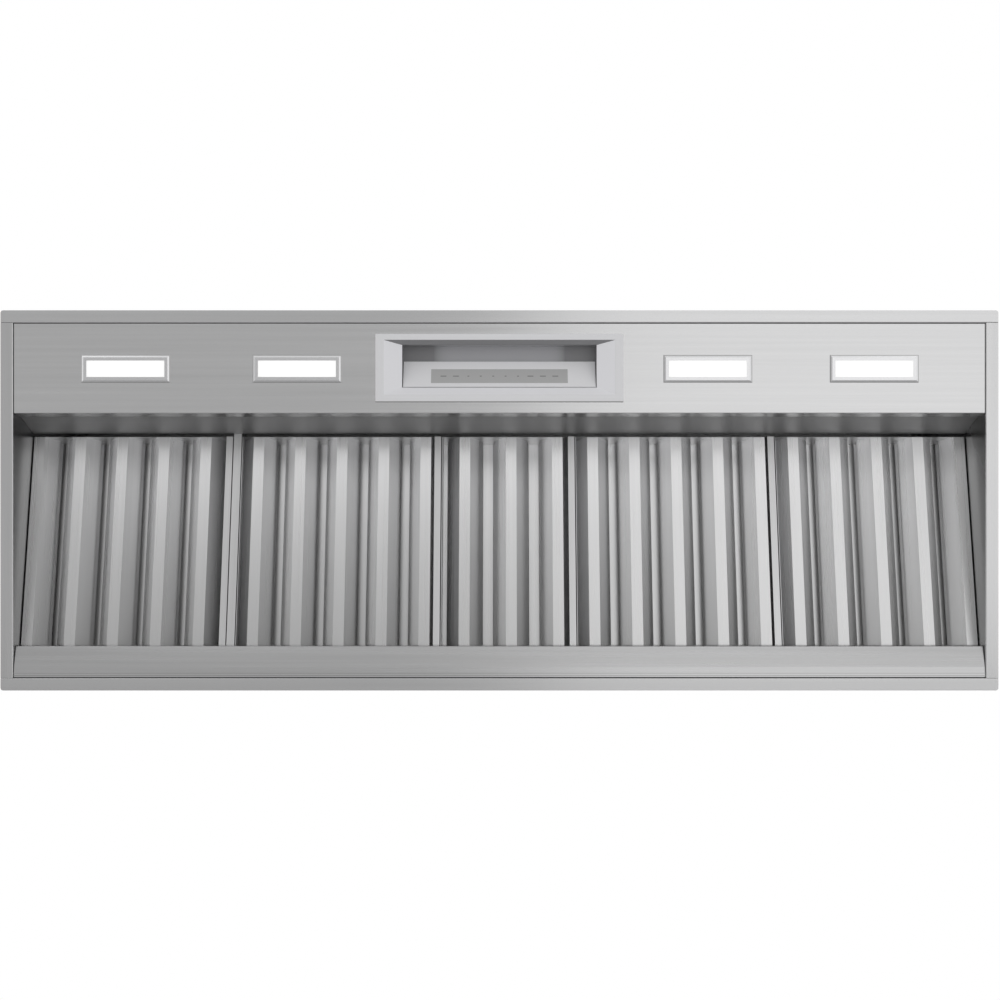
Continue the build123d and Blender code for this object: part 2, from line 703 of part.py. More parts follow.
# ---------------------------------------------------------------- blower
# The volute grows by one step at each quarter turn, round four shifted centres.
def volute(grow=0.0):
    """The volute's outline, from the cut-off round to the outlet, grown outwards."""
    half_step = scroll_step / 2
    mouth_z = housing_h - shaft_z
    radii = [scroll_r + scroll_step * i + grow for i in range(3)]
    with BuildSketch() as section:
        with BuildLine():
            Line((half_step + grow, mouth_z),
                 (half_step + grow, -half_step + sqrt(radii[0] ** 2 - grow ** 2)))
            CenterArc((half_step, -half_step), radii[0], 0, degrees(acos(grow / radii[0])))
            CenterArc((-half_step, -half_step), radii[1], 270, 90)
            CenterArc((-half_step, half_step), radii[2], 180, 90)
            Line((-half_step - radii[2], half_step), (-half_step - radii[2], mouth_z))
            Line((-half_step - radii[2], mouth_z), (half_step + grow, mouth_z))
        make_face()
    return section.sketch


def blade_section():
    """One blade: a strip creased along its middle, its tip leaning into the turn."""
    root = Vector(wheel_r - blade_depth + blade_t, 0)
    tip = Vector(wheel_r - 3 * blade_t, 0).rotate(Axis.Z, -blade_lean)
    crease = (root + tip) / 2 + (tip - root).normalized().rotate(Axis.Z, 90) * blade_camber
    with BuildSketch() as section:
        with BuildLine():
            Polyline(root, crease, tip)
            offset(amount=blade_t, side=Side.LEFT, kind=Kind.INTERSECTION)
        make_face()
    return section.sketch


with BuildPart() as scroll_wrapper:
    with BuildSketch(on_shaft(-scroll_half)):
        add(volute(scroll_t))
        add(volute(), mode=Mode.SUBTRACT)
    extrude(amount=2 * scroll_half)
    # Flanges under the top panel, front and rear of the outlet.
    with BuildSketch(Plane.XY.offset(housing_h)):
        with Locations((0, -(outlet_d + outlet_flange) / 2),
                       (0, (outlet_d + outlet_flange) / 2)):
            Rectangle(2 * scroll_half, outlet_flange)
    extrude(amount=-sheet_t)
save(scroll_wrapper, "scroll_wrapper")

# Side plate with a drawn inlet collar that guides air into the wheel.
with BuildPart() as scroll_side_right:
    with BuildSketch(on_shaft(scroll_half)):
        add(volute(scroll_t))
        RegularPolygon(inlet_r, sheet_facet_count, mode=Mode.SUBTRACT)
    extrude(amount=scroll_t)
    with BuildSketch(on_shaft(scroll_half)):
        RegularPolygon(inlet_r + scroll_t, sheet_facet_count)
        RegularPolygon(inlet_r, sheet_facet_count, mode=Mode.SUBTRACT)
    extrude(amount=-inlet_collar)
save(scroll_side_right, "scroll_side_right")

with BuildPart() as scroll_side_left:
    mirror(scroll_side_right.part, about=Plane.YZ)
save(scroll_side_left, "scroll_side_left")

# Forward-curved wheel: back plate with a hub, blades, and a ring at the inlet. The rims run
# straight from blade to blade.
with BuildPart() as blower_wheel_right:
    with BuildSketch(on_shaft(wheel_from)):
        RegularPolygon(wheel_r, blade_count)
        Circle(shaft_r + shaft_fit, mode=Mode.SUBTRACT)
    extrude(amount=wheel_plate_t)
    with BuildSketch(on_shaft(wheel_from)):
        RegularPolygon(hub_r, sheet_facet_count)
        Circle(shaft_r + shaft_fit, mode=Mode.SUBTRACT)
    extrude(amount=hub_len)
    with BuildSketch(on_shaft(wheel_from + wheel_plate_t)):
        with PolarLocations(0, blade_count):
            add(blade_section())
    extrude(amount=wheel_len - wheel_plate_t)
    with BuildSketch(on_shaft(wheel_from + wheel_len)):
        RegularPolygon(wheel_r, blade_count)
        RegularPolygon(wheel_r - blade_depth, blade_count, mode=Mode.SUBTRACT)
    extrude(amount=-wheel_plate_t)
save(blower_wheel_right, "blower_wheel_right")

with BuildPart() as blower_wheel_left:
    mirror(blower_wheel_right.part, about=Plane.YZ)
save(blower_wheel_left, "blower_wheel_left")

with BuildPart() as motor:
    with BuildSketch(on_shaft(-motor_body_half)):
        RegularPolygon(motor_r, sheet_facet_count)
    extrude(amount=2 * motor_body_half)
    with BuildSketch(on_shaft(-motor_boss_half)):
        RegularPolygon(motor_boss_r, sheet_facet_count)
    extrude(amount=2 * motor_boss_half)
    with BuildSketch(on_shaft(-motor_boss_half)):
        Circle(shaft_r + shaft_fit)
    extrude(amount=2 * motor_boss_half, mode=Mode.SUBTRACT)
save(motor, "blower_motor")

# A band round the motor on two legs that stand on the wrapper.
with BuildPart() as motor_cradle:
    with BuildSketch(on_shaft(-cradle_w / 2)):
        with Locations((-cradle_leg, -motor_r), (cradle_leg, -motor_r)):
            Rectangle(cradle_t, 3 * motor_r)
        add(volute(-cradle_gap), mode=Mode.INTERSECT)
        with Locations((0, motor_r)):
            Rectangle(4 * motor_r, 2 * motor_r, mode=Mode.SUBTRACT)
        RegularPolygon(motor_r + cradle_gap + cradle_t, sheet_facet_count)
        RegularPolygon(motor_r + cradle_gap, sheet_facet_count, mode=Mode.SUBTRACT)
    extrude(amount=cradle_w)
save(motor_cradle, "motor_cradle")

shaft_half = wheel_from + hub_len + hub_r
with BuildPart() as motor_shaft:
    with BuildSketch(on_shaft(-shaft_half)):
        Circle(shaft_r)
    extrude(amount=2 * shaft_half)
save(motor_shaft, "motor_shaft")

with BuildPart() as run_capacitor:
    with BuildSketch(Plane.XY.offset(housing_h)):
        with Locations((scroll_half + capacitor_from_scroll, capacitor_y)):
            Rectangle(capacitor_w, capacitor_d)
    extrude(amount=-capacitor_h)
    # Fixing ear under the top panel.
    with BuildSketch(Plane.XY.offset(housing_h)):
        with Locations((scroll_half + capacitor_from_scroll + capacitor_w / 2, capacitor_y)):
            Rectangle(2 * capacitor_ear, capacitor_ear)
    extrude(amount=-sheet_t)
save(run_capacitor, "run_capacitor")

# ---------------------------------------------------------------- duct adapter and damper
def flatted_rim(half_w, half_d, radius, z):
    """Corners of a rectangle at height z, rounded by flats that just clear the radius."""
    step = 2 * pi / sheet_facet_count
    reach = radius / cos(step / 2)
    rim = []
    for i in range(sheet_facet_count):
        angle = (i + 0.5) * step
        rim.append((copysign(half_w - radius, cos(angle)) + reach * cos(angle),
                    copysign(half_d - radius, sin(angle)) + reach * sin(angle), z))
    return rim


def hopper(wall):
    """The solid inside the adapter's flats, or outside them with the wall added."""
    mouth_r = collar_r - collar_t / 2 + (wall - collar_t / 2) * seam_spread
    lower = flatted_rim(scroll_half + wall, outlet_d / 2 + wall, corner_r + wall, adapter_z)
    upper = flatted_rim(mouth_r, mouth_r, mouth_r, adapter_z + adapter_h)
    skin = [Face(Wire.make_polygon([lower[i - 1], lower[i], upper[i], upper[i - 1]]))
            for i in range(sheet_facet_count)]
    skin += [Face(Wire.make_polygon(rim)) for rim in (lower, upper)]
    return Solid(Shell(skin))


with BuildPart() as duct_adapter:
    # Each flat runs from the outlet's rim up to the round collar.
    add(hopper(collar_t))
    add(hopper(0), mode=Mode.SUBTRACT)
    with BuildSketch(Plane.XY.offset(top_z)):
        Rectangle(2 * (scroll_half + adapter_flange), outlet_d + 2 * adapter_flange)
        Rectangle(2 * scroll_half, outlet_d, mode=Mode.SUBTRACT)
    extrude(amount=sheet_t)
    with BuildSketch(Plane.XY.offset(adapter_z + adapter_h)):
        Circle(collar_r)
        Circle(collar_r - collar_t, mode=Mode.SUBTRACT)
    extrude(amount=collar_h)
save(duct_adapter, "duct_adapter")

rod_half = sqrt((collar_r - collar_t) ** 2 - rod_r ** 2) - rod_fit
with BuildPart() as damper_rod:
    with BuildSketch(Plane.YZ.offset(-rod_half)):
        with Locations((0, rod_z)):
            Circle(rod_r)
    extrude(amount=2 * rod_half)
save(damper_rod, "damper_rod")

# Two half-moon flaps on one rod: the rear flap's knuckle lies between the front one's two.
knuckle_r = rod_r + rod_fit + knuckle_t
for side, label, knuckle_xs in ((-1, "front", (-knuckle_pitch, knuckle_pitch)),
                                (1, "rear", (0.0,))):
    with BuildPart() as flap:
        with BuildSketch(Plane.XY.offset(rod_z - flap_t / 2)):
            RegularPolygon(flap_r, sheet_facet_count)
            with Locations((0, side * (flap_start - flap_r))):
                Rectangle(2 * flap_r, 2 * flap_r, mode=Mode.SUBTRACT)
            with Locations(*[(x, side * flap_start / 2) for x in knuckle_xs]):
                Rectangle(knuckle_len, flap_start + flap_t)
        extrude(amount=flap_t)
        for x in knuckle_xs:
            with BuildSketch(Plane.YZ.offset(x - knuckle_len / 2)):
                with Locations((0, rod_z)):
                    RegularPolygon(knuckle_r, hinge_facet_count)
            extrude(amount=knuckle_len)
        with BuildSketch(Plane.YZ.offset(-flap_r)):
            with Locations((0, rod_z)):
                Circle(rod_r + rod_fit)
        extrude(amount=2 * flap_r, mode=Mode.SUBTRACT)
    save(flap, f"damper_flap_{label}")

# ---------------------------------------------------------------- electrics
box_x = -inner_half_w + box_from_wall
with BuildPart() as junction_box:
    with BuildSketch(Plane.XY.offset(top_z)):
        with Locations((box_x, 0)):
            Rectangle(box_w, box_d)
    extrude(amount=box_h)
    with BuildSketch(Plane.XY.offset(top_z + sheet_t)):
        with Locations((box_x, 0)):
            Rectangle(box_w - 2 * sheet_t, box_d - 2 * sheet_t)
    extrude(amount=box_h, mode=Mode.SUBTRACT)
    with BuildSketch(Plane.YZ.offset(box_x - box_w / 2 - sheet_t)):
        with Locations((0, top_z + box_h / 2)):
            Circle(knockout_r)
    extrude(amount=3 * sheet_t, mode=Mode.SUBTRACT)
save(junction_box, "junction_box")

cover_w = box_w + 2 * (cover_gap + sheet_t)
cover_d = box_d + 2 * (cover_gap + sheet_t)
with BuildPart() as junction_cover:
    with BuildSketch(Plane.XY.offset(top_z + box_h + sheet_t)):
        with Locations((box_x, 0)):
            Rectangle(cover_w, cover_d)
    extrude(amount=-cover_h)
    with BuildSketch(Plane.XY.offset(top_z + box_h)):
        with Locations((box_x, 0)):
            Rectangle(cover_w - 2 * sheet_t, cover_d - 2 * sheet_t)
    extrude(amount=-cover_h, mode=Mode.SUBTRACT)
save(junction_cover, "junction_cover")

with BuildPart() as terminal_block:
    with BuildSketch(Plane.XY.offset(top_z + sheet_t)):
        with Locations((box_x, 0)):
            Rectangle(terminal_w, terminal_d)
    extrude(amount=terminal_h)
    with BuildSketch(Plane.XY.offset(top_z + sheet_t + terminal_h)):
        with Locations((box_x, 0)):
            with GridLocations(terminal_w / terminal_ways, 0, terminal_ways, 1):
                Rectangle(0.6 * terminal_w / terminal_ways, 0.5 * terminal_d)
    extrude(amount=-terminal_h / 3, mode=Mode.SUBTRACT)
save(terminal_block, "terminal_block")

with BuildPart() as led_driver:
    with BuildSketch(Plane.XY.offset(header_z - sheet_t)):
        with Locations((-inner_half_w + driver_from_wall, -inner_half_d + driver_from_front)):
            Rectangle(driver_w, driver_d)
    extrude(amount=-driver_h)
save(led_driver, "led_driver")
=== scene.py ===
# %% [markdown]
# # A built-in range hood insert, seen from below
#
# The construction comes ready made: folded stainless walls, five baffle filters, lamps, a
# control pocket, a blower and a duct collar, all at their real size in metres. Here it gets
# its finishes, a few small pieces that are too fine for the construction, the lights and the
# camera. The part hangs in its cabinet, so the camera lies near the floor and looks up.

# %% Load the construction
import math

import bmesh
import bpy
from mathutils import Matrix, Vector


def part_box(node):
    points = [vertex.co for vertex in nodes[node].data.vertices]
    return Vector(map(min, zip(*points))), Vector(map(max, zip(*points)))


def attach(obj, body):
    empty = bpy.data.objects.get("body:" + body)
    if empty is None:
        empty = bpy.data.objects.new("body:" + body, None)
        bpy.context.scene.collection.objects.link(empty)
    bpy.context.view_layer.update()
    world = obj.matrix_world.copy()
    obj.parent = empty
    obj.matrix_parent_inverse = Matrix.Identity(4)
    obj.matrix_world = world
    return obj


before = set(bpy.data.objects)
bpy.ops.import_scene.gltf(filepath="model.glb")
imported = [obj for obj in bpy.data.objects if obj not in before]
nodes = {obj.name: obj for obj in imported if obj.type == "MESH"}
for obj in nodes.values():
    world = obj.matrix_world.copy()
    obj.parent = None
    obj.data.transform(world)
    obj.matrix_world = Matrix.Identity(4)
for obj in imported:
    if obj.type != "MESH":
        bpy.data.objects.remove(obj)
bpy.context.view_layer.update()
print("nodes:", len(nodes))

# %% [markdown]
# ## Shader maths that reads like Python
#
# A procedural finish is arithmetic on the surface's coordinates. Written node by node it is
# hard to follow, so one small class wraps a node's output and adds a Math node for each
# operator.

# %% A wrapped socket
class Signal:
    """The output of a shader node, usable in Python expressions."""

    def __init__(self, finish, socket):
        self.finish = finish
        self.socket = socket

    def maths(self, operation, *values):
        inputs = dict(enumerate(values))
        return self.finish.node("ShaderNodeMath", {"operation": operation}, inputs)

    def __add__(self, other):
        return self.maths("ADD", self, other)

    def __sub__(self, other):
        return self.maths("SUBTRACT", self, other)

    def __mul__(self, other):
        return self.maths("MULTIPLY", self, other)

    def __truediv__(self, other):
        return self.maths("DIVIDE", self, other)

    def __rsub__(self, other):
        return self.maths("SUBTRACT", other, self)

    def __lt__(self, other):
        return self.maths("LESS_THAN", self, other)

    def __gt__(self, other):
        return self.maths("GREATER_THAN", self, other)

    def __pow__(self, other):
        return self.maths("POWER", self, other)

    def __abs__(self):
        return self.maths("ABSOLUTE", self)

    __radd__ = __add__
    __rmul__ = __mul__

    def clamp(self, low=0.0, high=1.0):
        return self.maths("MINIMUM", self.maths("MAXIMUM", self, low), high)

    def fraction(self):
        return self.maths("FRACT", self)


print("a signal knows", sum(callable(member) for member in vars(Signal).values()), "methods")

# %% [markdown]
# ## One finish, one class
#
# A finish starts with its Principled shader and the surface's own coordinates. It has a
# method for each kind of node that the materials below share: stretched noise, a blend of two
# colours, and a bump whose depth is in metres.

# %% A finish
class Finish:
    """One procedural material, built round a Principled shader."""

    def __init__(self, name):
        self.material = bpy.data.materials.new(name)
        self.material.use_nodes = True
        self.tree = self.material.node_tree
        self.tree.nodes.clear()
        self.output = self.tree.nodes.new("ShaderNodeOutputMaterial")
        self.shader = self.tree.nodes.new("ShaderNodeBsdfPrincipled")
        self.tree.links.new(self.shader.outputs["BSDF"], self.output.inputs["Surface"])
        place = self.tree.nodes.new("ShaderNodeTexCoord")
        self.place = Signal(self, place.outputs["Object"])

    def connect(self, socket, value):
        """Links a signal to a socket, or sets the socket to a constant."""
        if isinstance(value, Signal):
            self.tree.links.new(value.socket, socket)
        else:
            socket.default_value = value

    def node(self, kind, settings, inputs, output=0):
        """Adds a node and returns one of its outputs."""
        new = self.tree.nodes.new(kind)
        for name, value in settings.items():
            setattr(new, name, value)
        for name, value in inputs.items():
            self.connect(new.inputs[name], value)
        return Signal(self, new.outputs[output])

    def set(self, **sockets):
        """Feeds the shader's sockets. A name has _ where the socket's has a space."""
        for name, value in sockets.items():
            self.connect(self.shader.inputs[name.replace("_", " ")], value)
        return self

    def colour(self):
        """The colour that the shader has been given so far."""
        return Signal(self, self.shader.inputs["Base Color"].links[0].from_socket)

    def axes(self):
        """The surface point's x, y and z in metres."""
        split = self.node("ShaderNodeSeparateXYZ", {}, {0: self.place})
        outputs = split.socket.node.outputs
        return [Signal(self, outputs[axis]) for axis in ("X", "Y", "Z")]

    def noise(self, scales, detail=2.0, roughness=0.5, offset=(0, 0, 0)):
        """Noise stretched by a scale for each axis, in cycles per metre."""
        spot = self.node("ShaderNodeMapping", {}, {"Vector": self.place, "Scale": scales,
                                                   "Location": offset})
        return self.node("ShaderNodeTexNoise", {}, {"Vector": spot, "Scale": 1.0,
                                                    "Detail": detail, "Roughness": roughness})

    def blend(self, factor, low, high):
        """A colour between two others."""
        mix = self.tree.nodes.new("ShaderNodeMix")
        mix.data_type = "RGBA"
        self.connect(mix.inputs[0], factor)
        self.connect(mix.inputs[6], low)
        self.connect(mix.inputs[7], high)
        return Signal(self, mix.outputs[2])

    def bump(self, height, depth):
        """A normal from a height between 0 and 1 that stands for `depth` metres."""
        return self.node("ShaderNodeBump", {}, {"Height": height, "Distance": depth,
                                                "Strength": 1.0})


# %% Greys, and dressing the construction
def grey(level):
    return (level, level, level, 1.0)


def dress(finish, *names):
    """Gives the finish to nodes of the construction."""
    for name in names:
        for slot in nodes[name].material_slots:
            slot.material = finish.material


# %% [markdown]
# ## Brushed stainless sheet
#
# The sheet is drawn through belts of abrasive, which leaves fine lines along the grain. Up
# close they are scratches, and from a step away only faint streaks. Noise that is stretched
# a hundred times or more along the grain gives both: it moves the roughness, shades the colour
# by up to a tenth and tilts the surface a little. The grain runs along each sheet's long side.
# Where sheets meet, a thin dark line marks the joint; at the sill's two folds a thin dark line
# is painted shade, and along the fascia's rear fold a pale line is a painted highlight. Such a
# line is given by its axis, its place, half its width and its shade. Inside the recess the
# side walls are painted darker, and the baffles are painted darker towards their lower end:
# both are painted shade.

# %% Places of the seams and folds
wall_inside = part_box("fascia_panel")[1][0] + 0.0004
front_wall, rear_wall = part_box("fascia_panel")[0][1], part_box("rear_sill")[1][1]
fascia_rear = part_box("fascia_panel")[1][1]
filters_front, filters_rear = (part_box("filter_1_frame")[i][1] for i in (0, 1))
above_flange = 0.004
side_joint = ("X", wall_inside - 0.0008, 0.0005, 0.2)
fascia_seam = ("Y", front_wall + 0.0004, 0.0008, 0.2)
# A pale line along the fascia's rear fold is a painted highlight.
fascia_fold_highlight = ("Y", fascia_rear - 0.0014, 0.0009, 1.22)
# The dark lines at the sill's two folds are painted shade.
sill_front_fold_shade = ("Y", 0.2570, 0.0004, 0.72)
sill_rear_fold_shade = ("Y", 0.2604, 0.0004, 0.62)
sill_seam = ("Y", rear_wall - 0.0004, 0.0007, 0.15)
print("the recess is", round(2 * wall_inside, 4), "m wide between its side walls")


# %% Brushed steel with its grain along X or Y
def brushed_steel(name, level, roughness, grain, lines=(), inner_wall_shade=0.0, painted_rear_shade=0.0):
    finish = Finish(name)
    along, fine, coarse = 1.6, 1400.0, 170.0
    if grain == "X":
        fine_scales, coarse_scales = (along * 3, fine, fine), (along, coarse, coarse)
    else:
        fine_scales, coarse_scales = (fine, along * 3, along * 3), (coarse, along, along)
    scratches = finish.noise(fine_scales, detail=1.0)
    streaks = finish.noise(coarse_scales, detail=3.0, offset=(3.1, 1.7, 0.4))
    clouds = finish.noise((5.0, 7.0, 7.0), detail=2.0, offset=(0.3, 5.2, 1.1))
    tone = (0.35 * scratches + 0.85 * streaks + 0.1 * clouds - 0.15).clamp()
    dark = (level * 0.90, level * 0.90, level * 0.905, 1.0)
    pale = (level * 1.10, level * 1.10, level * 1.105, 1.0)
    colour = finish.blend(tone, dark, pale)
    x, y, z = finish.axes()
    # Lines are dark at joints; at the sill's folds they are painted shade, and at the fascia's
    # rear fold a painted highlight.
    for axis, place, width, shade in lines:
        away = abs(y - place) if axis == "Y" else abs(abs(x) - place)
        colour = finish.blend(away < width, colour, grey(level * shade))
    # Inside the recess the side walls are painted darker: painted shade.
    if inner_wall_shade:
        inside = (z > above_flange) * (abs(x) < wall_inside)
        colour = finish.blend(inside, colour, grey(level * inner_wall_shade))
    # The baffles are painted darker towards their lower end: painted shade, for the light that
    # falls off towards the rear.
    if painted_rear_shade:
        towards_ledge = ((y - filters_front) / (filters_rear - filters_front)).clamp()
        colour = finish.blend(towards_ledge, colour, grey(level * painted_rear_shade))
    finish.set(
        Base_Color=colour,
        Metallic=1.0,
        Roughness=roughness + 0.10 * (streaks - 0.5) + 0.06 * (scratches - 0.5),
        Normal=finish.bump(0.7 * scratches + 0.3 * streaks, 0.000008))
    return finish


panel_steel = brushed_steel("brushed panel steel", 0.63, 0.24, "X")
fascia_steel = brushed_steel("brushed fascia steel", 0.63, 0.24, "X",
                             (side_joint, fascia_seam, fascia_fold_highlight))
# The header's steel is painted darker than the panel's: painted shade, where the header stands
# in the recess.
header_steel_with_painted_shade = brushed_steel("brushed header steel with painted shade", 0.40, 0.50, "X")
sill_steel = brushed_steel("brushed sill steel", 0.54, 0.26, "X",
                           (side_joint, sill_front_fold_shade, sill_rear_fold_shade, sill_seam))
side_steel = brushed_steel("brushed side steel", 0.60, 0.26, "Y", inner_wall_shade=0.5)
baffle_steel = brushed_steel("brushed baffle steel", 0.90, 0.29, "Y", painted_rear_shade=0.68)
frame_steel = brushed_steel("brushed filter frame steel", 0.68, 0.38, "Y")
dress(panel_steel, "casing_front", "casing_rear", "top_panel")
dress(fascia_steel, "fascia_panel")
dress(header_steel_with_painted_shade, "filter_header")
dress(sill_steel, "rear_sill")
dress(side_steel, "casing_left", "casing_right")
dress(frame_steel, "filter_spacer")
for number in range(1, 6):
    dress(frame_steel, f"filter_{number}_frame")
    dress(baffle_steel, f"filter_{number}_front_baffles", f"filter_{number}_rear_baffles")
print("brushed steel on", sum("brushed" in nodes[name].material_slots[0].material.name
                              for name in nodes), "nodes")

# %% [markdown]
# ## Galvanised sheet
#
# The blower, the duct adapter with its flaps, the grease trough and the junction box are
# zinc-coated. Zinc freezes in flat crystals, so the surface is a patchwork of slightly
# different greys, each with its own gloss. A Voronoi pattern gives a random value for each
# crystal.

# %% Zinc spangle
def galvanised(name, level):
    finish = Finish(name)
    ripple = finish.noise((60.0, 60.0, 60.0), detail=2.0)
    crystals = finish.node("ShaderNodeTexVoronoi", {}, {
        "Vector": finish.place, "Scale": 110.0, "Randomness": 1.0}, output="Color")
    split = finish.node("ShaderNodeSeparateColor", {}, {"Color": crystals})
    shade = 0.75 * split + 0.25 * ripple
    finish.set(
        Base_Color=finish.blend(shade, (level * 0.82, level * 0.84, level * 0.86, 1.0),
                                (level * 1.1, level * 1.12, level * 1.13, 1.0)),
        Metallic=1.0,
        Roughness=0.38 + 0.2 * split,
        Normal=finish.bump(ripple, 0.00005))
    return finish


zinc_sheet = galvanised("galvanised sheet", 0.56)
dress(zinc_sheet, "scroll_wrapper", "scroll_side_left", "scroll_side_right", "duct_adapter",
      "motor_cradle", "junction_box", "junction_cover", "blower_wheel_left",
      "blower_wheel_right", "damper_flap_front", "damper_flap_rear", "grease_trough")
print("spangle on the hidden sheet parts")

# %% [markdown]
# ## Plated steel, aluminium and the motor
#
# Screws, the shaft and the damper rod are zinc-plated and a little yellow, the lamp modules
# are plain extruded aluminium, and the motor is painted black with a light texture.

# %% Small hidden metals
def plain_metal(name, colour, roughness, speckle):
    finish = Finish(name)
    grain = finish.noise((speckle, speckle, speckle), detail=3.0)
    dark = tuple(0.86 * c for c in colour) + (1.0,)
    finish.set(
        Base_Color=finish.blend(grain, dark, tuple(colour) + (1.0,)),
        Metallic=1.0,
        Roughness=roughness + 0.14 * (grain - 0.5))
    return finish


plated_steel = plain_metal("zinc plated steel", (0.72, 0.71, 0.66), 0.28, 900.0)
lamp_aluminium = plain_metal("extruded aluminium", (0.74, 0.74, 0.75), 0.42, 500.0)
dress(plated_steel, "top_screws", "motor_shaft", "damper_rod")
dress(lamp_aluminium, *[f"lamp_{number}_module" for number in range(1, 5)])

motor_paint = Finish("black motor paint")
orange_peel = motor_paint.noise((700.0, 700.0, 700.0), detail=2.0)
motor_paint.set(
    Base_Color=motor_paint.blend(orange_peel, grey(0.025), grey(0.045)),
    Roughness=0.42 + 0.15 * orange_peel,
    Normal=motor_paint.bump(orange_peel, 0.00006))
dress(motor_paint, "blower_motor")
print("plated steel, aluminium and motor paint are on")

# %% [markdown]
# ## Plastics, the circuit board and the capacitor
#
# The control pocket is moulded in a silver-white plastic with a satin surface. Moulded
# plastic has a very fine texture from its mould, which softens the reflections, so a small
# noise moves its roughness and its normal.

# %% Moulded plastics
def moulded(name, colour, roughness, texture, depth):
    finish = Finish(name)
    skin = finish.noise((texture, texture, texture), detail=2.0)
    flow = finish.noise((9.0, 14.0, 14.0), detail=2.0)
    dark = tuple(0.95 * c for c in colour) + (1.0,)
    finish.set(
        Base_Color=finish.blend(0.5 * skin + 0.5 * flow, dark, tuple(colour) + (1.0,)),
        Roughness=roughness + 0.1 * (skin - 0.5),
        Normal=finish.bump(skin, depth))
    return finish


control_plastic = moulded("silver white control plastic", (0.93, 0.93, 0.95), 0.38,
                          1300.0, 0.00002)
dark_plastic = moulded("dark terminal plastic", (0.045, 0.045, 0.05), 0.5, 900.0, 0.00005)
board_green = moulded("circuit board lacquer", (0.03, 0.17, 0.07), 0.32, 300.0, 0.00004)
capacitor_skin = moulded("capacitor sleeve", (0.6, 0.6, 0.57), 0.3, 200.0, 0.00002)
dress(control_plastic, "control_face")
dress(dark_plastic, "terminal_block", "led_driver")
dress(board_green, "control_board")
dress(capacitor_skin, "run_capacitor")
print("plastics are on")

# %% [markdown]
# ## The hand recess
#
# The recess over the controls is the same moulding, and its shade is painted in a second,
# darker grey. The line between the two tones follows the moulding's edges: all that is higher
# than the shallow cheeks is painted shade, and so is the narrow slope at the front, where the
# height rises as fast as the depth. A paler band in the middle of its roof is painted light.
# The flat rim is painted a little greyer than the cheeks, as shade, and its rear edge has a
# thin painted shadow line where it stands on the fascia.

# %% Pocket with painted shade
mouth_front, slope_depth, rim_height, slope_rise = -0.2391, 0.0071, 0.0006, 0.0064
painted_light_band_half_width, painted_shadow_line_width = 0.099, 0.0016
pocket_plastic_with_painted_shade = moulded("pocket plastic with painted shade", (0.94, 0.94, 0.97), 0.38, 1300.0,
                         0.00002)
x, y, z = pocket_plastic_with_painted_shade.axes()
into = (y - mouth_front) / slope_depth
up = (z - rim_height) / slope_rise
front_slope = (into < up + 0.06) * (up > 0.05)
# Above the cheeks and on the front slope the recess is painted dark: painted shade.
painted_shade_side = (front_slope + (up > 1.02)).clamp()
# A paler band across the middle of the roof is painted light.
painted_light_band = 1.0 - ((abs(x) / painted_light_band_half_width) ** 14.0).clamp()
painted_roof_shade = pocket_plastic_with_painted_shade.blend(0.25 + 0.75 * painted_light_band * (up > 2.0), (0.19, 0.19, 0.195, 1.0),
                                 (0.44, 0.44, 0.46, 1.0))
# A thin dark line along the rim's rear edge is a painted shadow.
painted_shadow_line = (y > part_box("control_pocket")[1][1] - painted_shadow_line_width) * (up < 0.9)
# The flat rim is painted greyer than the cheeks: painted shade.
rim_painted_shade = pocket_plastic_with_painted_shade.blend(0.8 * (up < 0.03), pocket_plastic_with_painted_shade.colour(),
                                (0.84, 0.84, 0.855, 1.0))
light_tone = pocket_plastic_with_painted_shade.blend(painted_shadow_line, rim_painted_shade, grey(0.36))
pocket_plastic_with_painted_shade.set(Base_Color=pocket_plastic_with_painted_shade.blend(painted_shade_side, light_tone, painted_roof_shade))
dress(pocket_plastic_with_painted_shade, "control_pocket")
print("the recess has painted shade")

# %% [markdown]
# ## The touch strip
#
# The keys are plain dashes printed under a grey film that is stuck into the sloped face. A
# row of equal dashes needs no ten masks: the place along the row, divided by the spacing,
# repeats from 0 to 1 at each key. The outer keys have wider dashes than the middle ones.

# %% Touch film
key_pitch, key_count = 0.0186, 10
dash_half_length, wide_dash_extra, dash_half_width = 0.0014, 0.0030, 0.0008
strip_low, strip_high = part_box("touch_strip")
key_row_y = (strip_low[1] + strip_high[1]) / 2
touch_film = Finish("grey touch film")
film_grain = touch_film.noise((1500.0, 1500.0, 1500.0), detail=1.0)
x, y, _ = touch_film.axes()
cell = x / key_pitch + key_count / 2
from_key = abs(cell.fraction() - 0.5) * key_pitch
wide_keys = ((x > 2.0 * key_pitch) + (x < -3.0 * key_pitch)).clamp()
dash = from_key < dash_half_length + wide_dash_extra * wide_keys
dash = dash * (abs(y - key_row_y) < dash_half_width)
dash = dash * (abs(x) < key_pitch * key_count / 2)
film_colour = touch_film.blend(film_grain, grey(0.50), grey(0.53))
touch_film.set(
    Base_Color=touch_film.blend(dash, film_colour, grey(0.26)),
    Roughness=0.34 + 0.06 * film_grain,
    Coat_Weight=0.2)
dress(touch_film, "touch_strip")

# %% [markdown]
# ## Lamps
#
# Each lamp is a satin bezel round a frosted lens. The light source sits behind the lens, and
# the frosting spreads it so well that the lens looks evenly white, a shade less bright along
# its edges. The lens glows, but it isn't what lights this scene. A thin grey line round the
# bezel is painted shade where its edge stands on the fascia.

# %% Bezel and glowing lens
bezel_shadow_width = 0.0012


